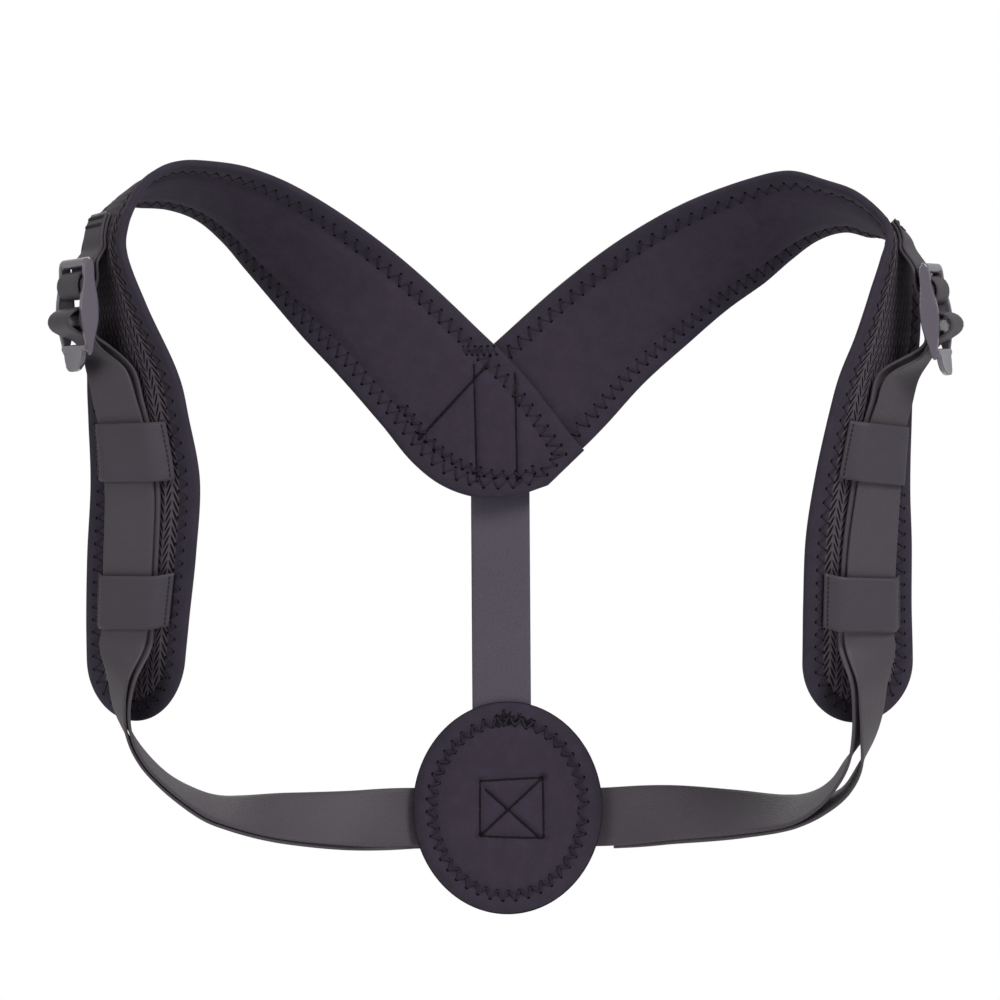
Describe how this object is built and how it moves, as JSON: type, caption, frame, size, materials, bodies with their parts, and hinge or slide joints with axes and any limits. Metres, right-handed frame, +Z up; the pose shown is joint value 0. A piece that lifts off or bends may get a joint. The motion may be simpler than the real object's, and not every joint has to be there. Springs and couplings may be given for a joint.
{
  "type": "posture corrector",
  "caption": "Worn back brace with padded shoulder straps joined at a yoke, a centre strap, an oval back pad and webbing side straps with ladder-lock buckles.",
  "frame": {"origin": "middle of the yoke's body-side face, where the crossed shoulder straps lie on the upper back", "axes": "+X to the right as seen from the body side, +Y away from the wearer's back, +Z up towards the shoulders"},
  "size_m": [0.3836, 0.1206, 0.322],
  "materials": {
    "shoulder_pad": "brushed knit over foam, air mesh on the outer side, woven binding",
    "webbing": "woven polyester webbing, satin",
    "loop_webbing": "flat woven tape",
    "buckle_plastic": "moulded acetal, semi-gloss",
    "back_pad": "brushed knit over foam, zigzag stitched"
  },
  "bodies": {
    "root": {"left_shoulder_pad": "shoulder_pad", "right_shoulder_pad": "shoulder_pad", "left_side_strap": "webbing", "right_side_strap": "webbing", "left_upper_loop": "loop_webbing", "left_lower_loop": "loop_webbing", "right_upper_loop": "loop_webbing", "right_lower_loop": "loop_webbing", "left_anchor": "webbing", "right_anchor": "webbing", "left_buckle": "buckle_plastic", "right_buckle": "buckle_plastic", "centre_strap": "webbing", "back_pad": "back_pad"}
  },
  "joints": []
}
